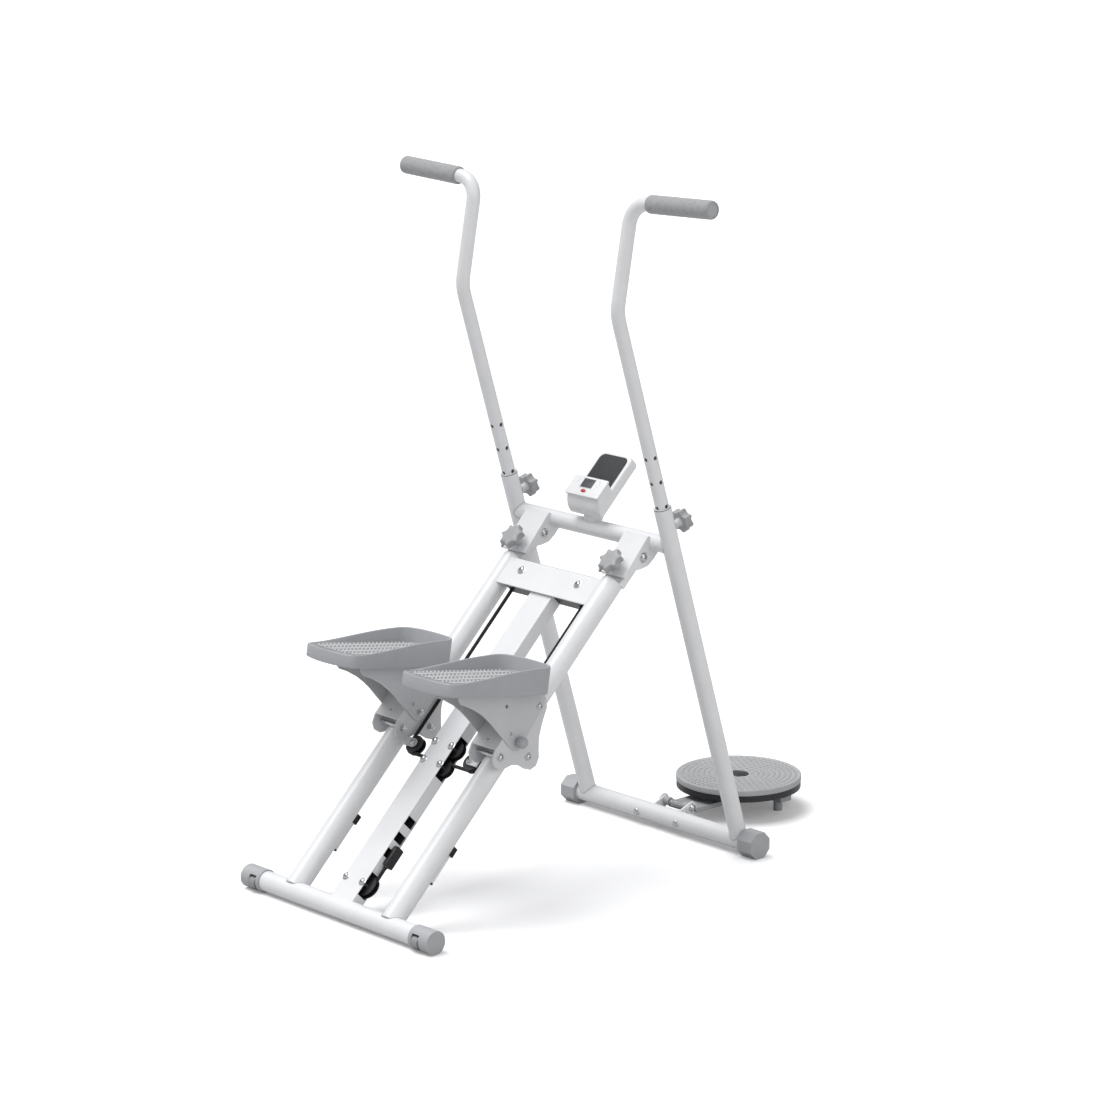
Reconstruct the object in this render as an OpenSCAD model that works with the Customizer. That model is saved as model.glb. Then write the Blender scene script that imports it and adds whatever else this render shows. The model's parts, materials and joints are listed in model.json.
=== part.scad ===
// Incline rail stepper: two pedal carriages ride on sloping rails and are tied by a rope.
// Millimetres, +Z up, +Y is the way the user faces, origin on the floor under the centre.

/* [Base frame] */
// Overall width over the front end caps
stab_w = 600; // [520:10:700]
// Front stabilizer tube diameter
stab_d = 44; // [38:1:50]
// Front end cap diameter
front_cap_d = 50; // [46:1:60]
// Rear base tube diameter
base_d = 42; // [38:1:50]
// Rear end cap size across its flats
rear_cap_af = 58; // [50:1:70]
// Distance from the front stabilizer to the rear base tube
base_gap = 929; // [860:1:1000]

/* [Rails] */
// Rail tube diameter
rail_d = 48; // [42:1:52]
// Rail distance from the middle plane
rail_x = 154; // [145:1:165]
// Rail slope above the floor in degrees
rail_tilt = 44.6; // [40:0.1:50]
// Rail length from the stabilizer axis
rail_len = 872; // [820:1:900]
// Centre beam width
beam_w = 66; // [56:1:76]
// Centre beam depth
beam_h = 31; // [25:1:40]

/* [Uprights and handles] */
// Upright tube diameter
upright_d = 38; // [35:1:42]
// Upright distance from the middle plane
upright_x = 239; // [225:1:250]
// Upright lean from vertical in degrees
upright_lean = 17.3; // [10:0.1:22]
// Upright length from the base axis
upright_len = 814; // [760:1:880]
// Handle tube diameter
handle_d = 30; // [26:1:32]
// Spacing of the handle height holes
hole_pitch = 56.5; // [40:0.5:70]
// Foam grip diameter
grip_d = 39; // [34:1:44]

/* [Pedals] */
// Pedal width
pedal_w = 155; // [130:1:170]
// Pedal length at its middle
pedal_l = 312; // [280:1:320]
// How far the curved toe stands out beyond its corners
toe_bow = 15; // [0:1:28]
// How far the curved heel stands out beyond its corners
heel_bow = 18; // [0:1:24]
// Pedal floor height
pedal_h = 27; // [20:1:35]
// Pedal pitch, toe down, in degrees
pedal_pitch = 9.2; // [0:0.1:15]

/* [Twist disc] */
// Twist disc diameter
disc_d = 283; // [240:1:320]
// Height of the disc top above the floor
disc_top_z = 80; // [60:1:100]
// Distance from the front stabilizer to the disc centre
disc_gap = 1168; // [1140:1:1250]

/* [Hidden] */
wall = 2.5;
gap = 0.3;
plate_t = 3.5;
cap_r = front_cap_d / 2;
front_reach = 27.5;
front_y = -(disc_gap + disc_d / 2 - front_reach) / 2;
base_y = front_y + base_gap;
base_z = rear_cap_af / 2;
disc_y = front_y + disc_gap;
// rope plane and pulley places in the rail frame
rope_n = -7;
rope_d = 10;
rope_x = 109;
top_pulley = [88, 843];
mid_pulley_s = [365, 411];
low_pulley_s = 66;
beam_pulley_x = 26;
carriage_pulley = [91, 396];
// carriage axles as [along rail, out of rail]
front_rod = [412, 29.6];
rear_axle = [457, -33.8];
upper_axle = [530, 33.6];
lock_pin = [463, 16];
top_pin = [551, 20];
plate_x = 34;
// fold axis as [along rail, out of rail]
pivot = [953, -4];
crossbar_at = [996, -7];
crossbar_d = 36.8;
bracket_w = 70;
// handle and sleeve places along the upright
pin_at = 763;
bend_at = 1261;
bend_angle = 27.7;
bend_r = 90;
corner_r = 48;
rise_len = 227.7;
reach_len = 231.3;
corner_angle = 87.9;
straight_trim = bend_r * tan(bend_angle / 2);
corner_trim = corner_r * tan(corner_angle / 2);
// twist disc hinge
disc_hinge = [975, 47];

$fn = 48;

// ---------- placing helpers ----------

module at_front() {
  translate([0, front_y, 0])
    children();
}

// rail frame: Y runs up the rail, Z points out of it towards the user
module on_rails() {
  translate([0, front_y, cap_r])
    rotate([rail_tilt, 0, 0])
      children();
}

// upright frame: Z runs up the upright, Y points to the rear
module on_upright(side) {
  translate([side * upright_x, base_y, base_z])
    rotate([upright_lean, 0, 0])
      children();
}

module on_side(side) {
  mirror([side < 0 ? 1 : 0, 0, 0])
    children();
}

module x_rod(x0, x1, r) {
  translate([x0, 0, 0])
    rotate([0, 90, 0])
      cylinder(r = r, h = x1 - x0);
}

// side plate drawn as [y, z] points and given a thickness along X
module x_plate(x0, t, pts) {
  translate([x0, 0, 0])
    rotate([90, 0, 90])
      linear_extrude(height = t)
        polygon(pts);
}

module dome_bolt(d, h) {
  cylinder(r1 = d / 2, r2 = d / 2 - 1, h = h * 0.6, $fn = 24);
  translate([0, 0, h * 0.6])
    cylinder(r1 = d / 2 - 1, r2 = d / 4, h = h * 0.4, $fn = 24);
}

module star_knob(d, h, lobes) {
  difference() {
    cylinder(r = d / 2, h = h, $fn = 56);
    for (i = [0 : lobes - 1])
      rotate([0, 0, i * 360 / lobes])
        translate([d * 0.64, 0, -1])
          cylinder(r = d * 0.25, h = h + 2, $fn = 28);
  }
}

// tube bend that starts along Z and turns towards X
module elbow(r, angle, rad) {
  far = 2 * (r + rad);
  translate([r, 0, 0])
    rotate([90, 0, 0])
      intersection() {
        rotate_extrude()
          translate([r, 0])
            difference() {
              circle(r = rad);
              circle(r = rad - wall);
            }
        linear_extrude(height = 4 * rad, center = true)
          polygon([[0, 0], [-far, 0], [-far, far * tan(angle / 2)],
            [-far * cos(angle), far * sin(angle)]]);
      }
}

module pipe(rad, len) {
  difference() {
    cylinder(r = rad, h = len);
    translate([0, 0, -1])
      cylinder(r = rad - wall, h = len + 2);
  }
}

module after_elbow(r, angle) {
  translate([r - r * cos(angle), 0, r * sin(angle)])
    rotate([0, angle, 0])
      children();
}

// ---------- rail frame ----------

module front_stabilizer() color("WhiteSmoke")
  at_front() translate([0, 0, cap_r]) difference() {
    x_rod(-stab_w / 2 + 6, stab_w / 2 - 6, stab_d / 2);
    x_rod(-stab_w / 2 + 5, stab_w / 2 - 5, stab_d / 2 - wall);
    for (side = [-1, 1])
      translate([side * 262, -17, 0])
        cube([26, 30, 60], center = true);
  }

module front_caps() color("DarkGray")
  at_front() translate([0, 0, cap_r])
    for (side = [-1, 1])
      on_side(side) difference() {
        x_rod(242, stab_w / 2, cap_r);
        x_rod(241, stab_w / 2 - 5.98, stab_d / 2 + 0.02);
        translate([262, -20, -3])
          cube([22, 30, 34], center = true);
      }

module floor_roller(side) color("DimGray")
  at_front() on_side(side) translate([262, -14.5, 21]) {
    difference() {
      x_rod(-9, 9, 13);
      x_rod(-10, 10, 4.05);
    }
  }

module left_floor_roller() floor_roller(-1);
module right_floor_roller() floor_roller(1);

// tube with a flat tongue on its upper end and a stop strip underneath
module rail(side) color("WhiteSmoke")
  on_rails() translate([side * rail_x, 0, 0]) difference() {
    union() {
      translate([0, 8, 0])
        rotate([-90, 0, 0])
          cylinder(r = rail_d / 2, h = rail_len - 4);
      translate([-27, rail_len + 3, -14])
        cube([54, 77, 18]);
      translate([0, pivot[0], pivot[1]])
        x_rod(-27, 27, 10);
      translate([-3, 127, -36])
        cube([6, 69, 20]);
    }
    translate([0, 0, 0])
      rotate([-90, 0, 0])
        cylinder(r = rail_d / 2 - wall, h = rail_len);
    translate([0, pivot[0], pivot[1]])
      x_rod(-28, 28, 6.05);
    x_rod(-stab_w / 2, stab_w / 2, stab_d / 2 + 0.02);
  }

module left_rail() rail(-1);
module right_rail() rail(1);

module centre_beam() color("WhiteSmoke")
  on_rails() difference() {
    translate([-beam_w / 2, 6, 12 - beam_h])
      cube([beam_w, 799, beam_h]);
    translate([-beam_w / 2 + wall, 5, 12 - beam_h + wall])
      cube([beam_w - 2 * wall, 801, beam_h - 2 * wall]);
    x_rod(-50, 50, stab_d / 2 + 0.02);
    for (s = [146, 186, 226])
      translate([beam_w / 2 - 6, s - 10.5, -17.5])
        cube([12, 21, 28]);
    translate([-50, 337, -17.5])
      cube([100, 102, 28]);
    translate([0, low_pulley_s - 28, -17.5])
      cube([50, 56, 28]);
    for (side = [-1, 1])
      for (s = [low_pulley_s, mid_pulley_s[0], mid_pulley_s[1]])
        translate([side * beam_pulley_x, s, -30])
          cylinder(r = 4.02, h = 60);
  }

module top_plate() color("WhiteSmoke")
  on_rails() difference() {
    translate([-141, 802, 15])
      cube([282, 66, 4]);
    for (side = [-1, 1]) {
      translate([side * rail_x, 790, 0])
        rotate([-90, 0, 0])
          cylinder(r = rail_d / 2 + 0.02, h = 90);
      translate([side * top_pulley[0], top_pulley[1], 0])
        cylinder(r = 4.02, h = 30);
    }
  }

module pulley_housing() color("DimGray")
  on_rails() difference() {
    translate([-122, 806.5, -21])
      cube([244, 64.1, 35.98]);
    translate([-119, 809.5, -18])
      cube([238, 59.1, 40]);
    for (side = [-1, 1]) {
      translate([side * rope_x, 808, rope_n])
        rotate([90, 0, 0])
          cylinder(r = rope_d / 2 + 1.5, h = 10, center = true);
      translate([side * top_pulley[0], top_pulley[1], -30])
        cylinder(r = 4.02, h = 30);
    }
  }

module pulley(d, h, groove = 5) {
  difference() {
    union() {
      cylinder(r = d / 2, h = 2.5);
      cylinder(r = d / 2 - groove, h = h);
      translate([0, 0, h - 2.5])
        cylinder(r = d / 2, h = 2.5);
    }
    translate([0, 0, -1])
      cylinder(r = 4.08, h = h + 2);
  }
}

module pulley_bolt(head_z, tail_z, d) {
  translate([0, 0, head_z + 0.02])
    dome_bolt(d, 5);
  translate([0, 0, tail_z])
    cylinder(r = 4, h = head_z - tail_z + 1);
  translate([0, 0, tail_z - 4])
    cylinder(r = d / 2, h = 4.96, $fn = 24);
}

module pulley_bolts() color("Silver")
  on_rails() {
    for (side = [-1, 1]) {
      translate([side * top_pulley[0], top_pulley[1], 0])
        pulley_bolt(19, -22, 15);
      for (s = mid_pulley_s)
        translate([side * beam_pulley_x, s, 0])
          pulley_bolt(12, -20, 13);
      translate([side * beam_pulley_x, low_pulley_s, 0])
        pulley_bolt(12, -20, 13);
    }
  }

module top_pulley_at(side) color("Black")
  on_rails() translate([side * top_pulley[0], top_pulley[1], rope_n - 8])
    pulley(42, 16);

module left_top_pulley() top_pulley_at(-1);
module right_top_pulley() top_pulley_at(1);

module beam_pulley(side, s) color("Black")
  on_rails() translate([side * beam_pulley_x, s, rope_n - 7])
    pulley(42, 14);

module left_upper_beam_pulley() beam_pulley(-1, mid_pulley_s[1]);
module right_upper_beam_pulley() beam_pulley(1, mid_pulley_s[1]);
module left_lower_beam_pulley() beam_pulley(-1, mid_pulley_s[0]);
module right_lower_beam_pulley() beam_pulley(1, mid_pulley_s[0]);
module foot_pulley() color("Black")
  on_rails() translate([beam_pulley_x, low_pulley_s, rope_n - 7])
    pulley(50, 14, 14);

module stop_pads() color("Black")
  on_rails() for (side = [-1, 1])
    translate([side * rail_x, 0, 0]) difference() {
      translate([-6, 196.02, -40])
        cube([12, 21, 26]);
      translate([0, 100, 0])
        rotate([-90, 0, 0])
          cylinder(r = rail_d / 2 + 0.02, h = 140);
    }

// hook in the third square hole of the beam, with the cord that runs down to the foot pulley
module resistance_hook() color("Black")
  on_rails() {
    translate([beam_w / 2 + 0.05, 120, -24])
      cube([11, 50, 25]);
    translate([beam_w / 2 - 8, 138, -14])
      cube([9, 16, 12]);
    translate([beam_pulley_x + 14.3, 80, rope_n])
      rotate([-90, 0, 0])
        cylinder(r = 3, h = 45, $fn = 24);
  }

// ---------- ropes ----------

// one half of the pull rope, from the carriage over the top pulley to the middle
module rope(side) color("Black")
  on_rails() on_side(side) translate([0, 0, rope_n]) {
    translate([rope_x + 0.4, carriage_pulley[1], 0])
      rotate([-90, 0, 0])
        cylinder(r = 4, h = top_pulley[1] - carriage_pulley[1], $fn = 24);
    translate([top_pulley[0], top_pulley[1], 0])
      rotate_extrude(angle = 90)
        translate([rope_x + 0.4 - top_pulley[0], 0])
          circle(r = 4, $fn = 24);
    translate([0, top_pulley[1] + rope_x + 0.4 - top_pulley[0], 0])
      x_rod(0.05, top_pulley[0], 4);
  }

module left_rope() rope(-1);
module right_rope() rope(1);

// ---------- carriages ----------

plate_pts = [[414, 52], [396, 45], [388, 30], [392, 12], [404, 1], [418, -8], [428, -22],
  [433, -44], [441, -60], [457, -67], [474, -61], [488, -46], [506, -30], [532, -16],
  [562, -4], [574, 8], [576, 24], [568, 43], [554, 52]];

module carriage(side) color("LightGray")
  on_rails() on_side(side) difference() {
    union() {
      x_plate(rail_x + plate_x, plate_t, plate_pts);
      x_plate(rail_x - plate_x - plate_t, plate_t, plate_pts);
      translate([rail_x - plate_x - 1, 416, 48.5])
        cube([2 * plate_x + 2, 136, 3.5]);
      translate([carriage_pulley[0], 386, 2])
        cube([26, 20, 3]);
      translate([carriage_pulley[0], carriage_pulley[1], 2])
        cylinder(r = 10, h = 3);
    }
    for (p = [front_rod, rear_axle, upper_axle])
      translate([0, p[0], p[1]])
        x_rod(100, 200, 4.02);
    for (p = [lock_pin, top_pin])
      translate([0, p[0], p[1]])
        x_rod(100, 200, 3.02);
    translate([carriage_pulley[0], carriage_pulley[1], -5])
      cylinder(r = 4.02, h = 20);
    translate([rail_x, 434, 40])
      cylinder(r = 2.5, h = 20);
  }

module left_carriage() carriage(-1);
module right_carriage() carriage(1);

module both_plates() {
  for (m = [0, 1])
    mirror([m, 0, 0])
      translate([plate_x + plate_t, 0, 0])
        children();
}

module carriage_bolts(side) color("Silver")
  on_rails() on_side(side) {
    for (p = [front_rod, rear_axle, upper_axle])
      translate([rail_x, p[0], p[1]]) {
        x_rod(-plate_x - plate_t, plate_x + plate_t, 4);
        if (p != upper_axle)
          both_plates() {
            x_rod(0, 1, 4);
            translate([0.02, 0, 0])
              rotate([0, 90, 0])
                dome_bolt(13, 5);
          }
      }
    translate([rail_x, top_pin[0], top_pin[1]])
      both_plates() {
        x_rod(-8.5, 5, 3);
        x_rod(-8.5, -3.55, 5.5);
        translate([3 + gap + 0.02, 0, 0])
          rotate([0, 90, 0])
            dome_bolt(13, 5);
      }
    translate([rail_x - plate_x - plate_t, lock_pin[0], lock_pin[1]])
      rotate([0, 0, 180]) {
        x_rod(-8.5, 5, 3);
        x_rod(-8.5, -3.55, 5.5);
        translate([3 + gap + 0.02, 0, 0])
          rotate([0, 90, 0])
            dome_bolt(13, 5);
      }
    translate([carriage_pulley[0], carriage_pulley[1], 0])
      pulley_bolt(5, -16, 13);
  }

module left_carriage_bolts() carriage_bolts(-1);
module right_carriage_bolts() carriage_bolts(1);

// pull pin that locks the pedal bracket to the outer carriage plate
module pedal_lock_pin(side) color("Gray")
  on_rails() on_side(side)
    translate([rail_x + plate_x + plate_t + 3 + gap + 0.3, lock_pin[0], lock_pin[1]]) {
      x_rod(-9, 1, 2.9);
      x_rod(0, 18, 12);
      rotate([0, 90, 0])
        translate([0, 0, 18])
          cylinder(r1 = 12, r2 = 7, h = 5);
    }

module left_lock_pin() pedal_lock_pin(-1);
module right_lock_pin() pedal_lock_pin(1);

// roller with a waist that fits the rail
module rail_roller(reach, r_out, half_w) {
  difference() {
    x_rod(-half_w, half_w, r_out);
    rotate([0, 90, 0])
      rotate_extrude()
        translate([reach, 0])
          circle(r = rail_d / 2 + 0.15);
    x_rod(-half_w - 1, half_w + 1, 4.06);
  }
}

module upper_roller(side) color("Gray")
  on_rails() translate([side * rail_x, upper_axle[0], upper_axle[1]])
    rail_roller(upper_axle[1], 13.5, 17);

module left_upper_roller() upper_roller(-1);
module right_upper_roller() upper_roller(1);

module rear_roller(side) color("Gray")
  on_rails() translate([side * rail_x, rear_axle[0], rear_axle[1]])
    rail_roller(-rear_axle[1], 19.5, 22);

module left_rear_roller() rear_roller(-1);
module right_rear_roller() rear_roller(1);

module rope_pulley(side) color("Black")
  on_rails() translate([side * carriage_pulley[0], carriage_pulley[1], rope_n - 7.9])
    pulley(42, 15, 7);

module left_rope_pulley() rope_pulley(-1);
module right_rope_pulley() rope_pulley(1);

bracket_pts = [[157, 489], [157, 478], [164, 468], [188, 457], [212, 442], [229, 428],
  [248, 409], [265, 389], [293, 357], [306, 345], [317, 341], [328, 347], [344, 367],
  [372, 401], [391, 423], [397, 438], [393, 451]];

// V-shaped carrier that bolts to the carriage and holds the pedal
module pedal_bracket(side) color("LightGray") difference() {
  union() {
    at_front() on_side(side)
      for (x = [rail_x + plate_x + plate_t + gap, rail_x - plate_x - plate_t - gap - 3])
        x_plate(x, 3, bracket_pts);
    at_front() on_side(side)
      translate([rail_x - plate_x - plate_t - gap - 3, 157, 486.6])
        rotate([-pedal_pitch, 0, 0])
          cube([2 * (plate_x + plate_t + gap + 3), 199, 3.2]);
  }
  on_rails() on_side(side)
    for (p = [lock_pin, top_pin])
      translate([0, p[0], p[1]])
        x_rod(100, 210, 3.02);
  on_rails() on_side(side)
    for (p = [[463, 44], [498, 94]])
      translate([0, p[0], p[1]])
        x_rod(100, 210, 4.3);
}

module left_pedal_bracket() pedal_bracket(-1);
module right_pedal_bracket() pedal_bracket(1);

heel_y = -14;

// tray outline: straight sides, heel and toe curved outwards, heel moved back by "back"
module pedal_plan(back, r) {
  w = pedal_w / 2;
  offset(r = r, $fn = 48)
    offset(delta = -r)
      polygon(concat(
        [for (i = [-8 : 8]) [w * i / 8, heel_y - back + heel_bow * i * i / 64]],
        [for (i = [8 : -1 : -8]) [w * i / 8, heel_y + pedal_l - toe_bow * i * i / 64]]));
}

// tight corners at the heel, wide ones at the toe
module pedal_outline(inset) offset(delta = -inset) intersection() {
  pedal_plan(0, 10);
  pedal_plan(80, 32);
}

wall_pts = concat(
  [[heel_y - 1, -1], [heel_y - 1, pedal_h]],
  [for (y = [6, 26, 50, 80, 115, 150, 185, 220, 260, 300])
    [y, pedal_h + 31.5 * pow(sin(90 * min(1, (y - 6) / 292)), 1.5)]],
  [[300, -1]]);

// foot tray with side and toe walls that rise from the open heel
module pedal(side) color("DarkGray")
  at_front() translate([side * rail_x, 100, 502])
    rotate([-pedal_pitch, 0, 0])
      difference() {
        intersection() {
          linear_extrude(height = 60)
            pedal_outline(0);
          x_plate(-pedal_w, 2 * pedal_w, wall_pts);
        }
        translate([0, 0, pedal_h])
          linear_extrude(height = 60)
            pedal_outline(5);
        translate([0, 0, -1])
          linear_extrude(height = pedal_h - 4)
            pedal_outline(4);
      }

module left_pedal() pedal(-1);
module right_pedal() pedal(1);

// ---------- upright frame ----------

module rear_base() color("WhiteSmoke")
  translate([0, base_y, base_z]) difference() {
    x_rod(-stab_w / 2 + 3, stab_w / 2 - 3, base_d / 2);
    x_rod(-stab_w / 2 + 2, stab_w / 2 - 2, base_d / 2 - wall);
  }

module rear_caps() color("DarkGray")
  translate([0, base_y, base_z])
    for (side = [-1, 1])
      on_side(side) difference() {
        translate([260, 0, 0])
          rotate([0, 90, 0])
            rotate([0, 0, 22.5])
              cylinder(r = rear_cap_af / 2 / cos(22.5), h = 42, $fn = 8);
        x_rod(259, 297.02, base_d / 2 + 0.02);
      }

module upright(side) color("WhiteSmoke") difference() {
  on_upright(side)
    difference() {
      translate([0, 0, 8])
        cylinder(r = upright_d / 2, h = upright_len - 8);
      translate([0, 0, -1])
        cylinder(r = handle_d / 2 + 0.4, h = upright_len + 10);
      translate([0, 0, pin_at])
        rotate([-90, 0, 0])
          cylinder(r = 5.2, h = 40);
    }
  translate([0, base_y, base_z])
    x_rod(-stab_w / 2, stab_w / 2, base_d / 2 + 0.02);
}

module left_upright() upright(-1);
module right_upright() upright(1);

module crossbar() color("WhiteSmoke") difference() {
  on_rails() translate([0, crossbar_at[0], crossbar_at[1]])
    difference() {
      x_rod(-upright_x + 4, upright_x - 4, crossbar_d / 2);
      x_rod(-upright_x, upright_x, crossbar_d / 2 - wall);
    }
  for (side = [-1, 1])
    on_upright(side)
      cylinder(r = upright_d / 2 + 0.02, h = upright_len);
}

ear_pts = [[889, 10], [889, 5], [905, 1], [920, -6], [932, -17], [949, -28], [970, -31],
  [996, -30], [996, 15], [992, 16]];

module fold_bracket(side) color("WhiteSmoke")
  on_rails() translate([side * rail_x, 0, 0]) difference() {
    union() {
      for (x = [-bracket_w / 2, bracket_w / 2 - 3])
        x_plate(x, 3, ear_pts);
      x_plate(-bracket_w / 2, bracket_w,
        [[889, 7], [889, 10.5], [891, 12], [992, 18], [994, 16], [990, 13], [892, 8.5]]);
    }
    translate([0, crossbar_at[0], crossbar_at[1]])
      x_rod(-50, 50, crossbar_d / 2 + 0.02);
    translate([0, pivot[0], pivot[1]])
      x_rod(-50, 50, 6.02);
    translate([0, 907, 0])
      cylinder(r = 5.2, h = 30);
  }

module left_fold_bracket() fold_bracket(-1);
module right_fold_bracket() fold_bracket(1);

// fold axis bolts and the two dome bolts of the disc bracket
module frame_bolts() color("Silver") {
  on_rails() for (side = [-1, 1])
    translate([side * rail_x, pivot[0], pivot[1]]) {
      x_rod(-bracket_w / 2 - 1, bracket_w / 2 + 1, 6);
      for (m = [0, 1])
        mirror([m, 0, 0])
          translate([bracket_w / 2 + 0.02, 0, 0])
            rotate([0, 90, 0])
              dome_bolt(17, 6);
    }
  for (side = [-1, 1])
    translate([side * 62, base_y - base_d / 2 - 0.02, base_z])
      rotate([90, 0, 0])
        dome_bolt(14, 6);
}

module fold_knob(side) color("Silver")
  on_rails() translate([side * rail_x, 907, 0]) {
    translate([0, 0, 30])
      star_knob(57, 16, 7);
    translate([0, 0, 15])
      cylinder(r = 9, h = 15.5);
    translate([0, 0, 4.4])
      cylinder(r = 5, h = 11);
  }

module left_fold_knob() fold_knob(-1);
module right_fold_knob() fold_knob(1);

// ---------- handles ----------

module handle(side) color("WhiteSmoke")
  on_upright(side) {
    bottom = pin_at - 2.4 * hole_pitch;
    difference() {
      translate([0, 0, bottom])
        pipe(handle_d / 2, bend_at - straight_trim - bottom);
      for (i = [-2 : 3])
        translate([0, 0, pin_at + i * hole_pitch]) {
          rotate([90, 0, 0])
            cylinder(r = 4.6, h = 60, center = true);
          rotate([0, 90, 0])
            cylinder(r = 4.6, h = 60, center = true);
        }
    }
    translate([0, 0, bend_at - straight_trim])
      rotate([0, 0, 90]) {
        elbow(bend_r, bend_angle, handle_d / 2);
        after_elbow(bend_r, bend_angle) {
          pipe(handle_d / 2, rise_len - straight_trim - corner_trim);
          translate([0, 0, rise_len - straight_trim - corner_trim])
            rotate([0, 0, -90 * side]) {
              elbow(corner_r, corner_angle, handle_d / 2);
              after_elbow(corner_r, corner_angle)
                pipe(handle_d / 2, reach_len - 8 - corner_trim);
            }
        }
      }
  }

module left_handle() handle(-1);
module right_handle() handle(1);

// places children at the corner of the handle, Z pointing out along the grip
module on_grip(side) {
  on_upright(side)
    translate([0, 0, bend_at - straight_trim])
      rotate([0, 0, 90])
        after_elbow(bend_r, bend_angle)
          translate([0, 0, rise_len - straight_trim - corner_trim])
            rotate([0, 0, -90 * side])
              after_elbow(corner_r, corner_angle)
                translate([0, 0, -corner_trim])
                  children();
}

module grip(side) color("DarkGray")
  on_grip(side) difference() {
    union() {
      translate([0, 0, 54])
        cylinder(r = grip_d / 2, h = reach_len - 60);
      translate([0, 0, reach_len - 6])
        cylinder(r1 = grip_d / 2, r2 = grip_d / 2 - 5, h = 6);
    }
    translate([0, 0, 50])
      cylinder(r = handle_d / 2 + 0.02, h = reach_len - 57.9);
  }

module left_grip() grip(-1);
module right_grip() grip(1);

module height_knob(side) color("Silver")
  on_upright(side) translate([0, 0, pin_at]) rotate([-90, 0, 0]) {
    translate([0, 0, 36])
      star_knob(51, 21, 7);
    translate([0, 0, upright_d / 2 + 1])
      cylinder(r = 9, h = 17.5);
    translate([0, 0, handle_d / 2 + 1.2])
      cylinder(r = 5, h = 16);
  }

module left_height_knob() height_knob(-1);
module right_height_knob() height_knob(1);

// ---------- console ----------

// console frame: Y runs up the sloping face, Z points out of it
module on_console() {
  translate([0, front_y + 697, 750])
    rotate([44, 0, 0])
      children();
}

module rounded_slab(x, y0, y1, r, h) {
  hull()
    for (sx = [-1, 1])
      for (y = [y0 + r, y1 - r])
        translate([sx * (x - r), y, 0])
          cylinder(r = r, h = h, $fn = 32);
}

module console() color("White") {
  on_console() difference() {
    intersection() {
      x_plate(-50, 100, [[0, 3], [3, 0], [143, 0], [148, 5], [148, 19], [143, 24], [71, 24],
        [69, 43], [25, 43], [12, 33]]);
      rounded_slab(50, 0, 148, 12, 60);
    }
    translate([0, 0, 22])
      rounded_slab(42, 73, 141, 12, 10);
    translate([-18, 40, 42])
      cube([36, 21, 4]);
    translate([0, 32, 38])
      cylinder(r = 4.3, h = 10);
  }
  difference() {
    at_front()
      x_plate(-20, 40, [[698, 755], [694, 740], [698, 731], [730, 731], [738, 745], [752, 806]]);
    on_rails() translate([0, crossbar_at[0], crossbar_at[1]])
      x_rod(-50, 50, crossbar_d / 2 + 0.02);
  }
}

module phone_pad() color("Black")
  on_console() translate([0, 0, 22.02])
    rounded_slab(41.9, 73.1, 140.9, 12, 2.5);

module console_button() color("Red")
  on_console() translate([0, 32, 40.5])
    cylinder(r = 4, h = 4.3);

// ---------- twist disc ----------

module at_hinge() {
  translate([0, front_y + disc_hinge[0], disc_hinge[1]])
    children();
}

module disc_bracket() color("WhiteSmoke") difference() {
  union() {
    for (side = [-1, 1])
      on_side(side) at_front()
        x_plate(38, 4, [[940, 14], [952, 12], [984, 40], [985, 50], [979, 57], [971, 57], [940, 46]]);
    at_hinge()
      x_rod(-46, 46, 4);
  }
  translate([0, base_y, base_z])
    x_rod(-60, 60, base_d / 2 + 0.02);
}

module disc_arm() color("Gray")
  difference() {
    union() {
      at_front() translate([-40, 986, 30])
        cube([80, 262, 11]);
      for (side = [-1, 1])
        on_side(side) at_hinge() {
          x_rod(22, 37.5, 9.5);
          translate([22, 0, -9.5])
            cube([15.5, 14, 12]);
        }
      at_front() translate([-98, 1204, 23])
        cube([196, 34, 17.98]);
      for (side = [-1, 1])
        at_front() translate([side * 78, 1216, 0])
          cylinder(r = 10, h = 24);
      at_front() translate([0, disc_gap, 40])
        cylinder(r = 40, h = 12);
    }
    at_hinge()
      x_rod(-50, 50, 4.06);
  }

module disc_base() color("Black")
  translate([0, disc_y, 52.02]) {
    difference() {
      cylinder(r = disc_d / 2 - 1, h = 14, $fn = 96);
      difference() {
        translate([0, 0, -1])
          cylinder(r = disc_d / 2 - 8, h = 11, $fn = 96);
        cylinder(r = 60, h = 14);
      }
    }
    cylinder(r = 22.6, h = disc_top_z - 54.5);
  }

module disc_plate() color("DarkGray")
  translate([0, disc_y, 66.4]) difference() {
    union() {
      cylinder(r = disc_d / 2, h = disc_top_z - 68.4, $fn = 96);
      translate([0, 0, disc_top_z - 68.4])
        cylinder(r1 = disc_d / 2, r2 = disc_d / 2 - 2, h = 2, $fn = 96);
    }
    translate([0, 0, -1])
      cylinder(r = 23, h = 30);
  }

front_stabilizer();
front_caps();
left_rail();
right_rail();
centre_beam();
top_plate();
pulley_housing();
pulley_bolts();
stop_pads();
resistance_hook();
left_rope();
right_rope();
left_floor_roller();
right_floor_roller();
left_top_pulley();
right_top_pulley();
left_upper_beam_pulley();
right_upper_beam_pulley();
left_lower_beam_pulley();
right_lower_beam_pulley();
foot_pulley();
left_carriage();
right_carriage();
left_carriage_bolts();
right_carriage_bolts();
left_pedal_bracket();
right_pedal_bracket();
left_pedal();
right_pedal();
left_lock_pin();
right_lock_pin();
left_upper_roller();
right_upper_roller();
left_rear_roller();
right_rear_roller();
left_rope_pulley();
right_rope_pulley();
rear_base();
rear_caps();
left_upright();
right_upright();
crossbar();
left_fold_bracket();
right_fold_bracket();
frame_bolts();
left_fold_knob();
right_fold_knob();
left_handle();
right_handle();
left_grip();
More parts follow.
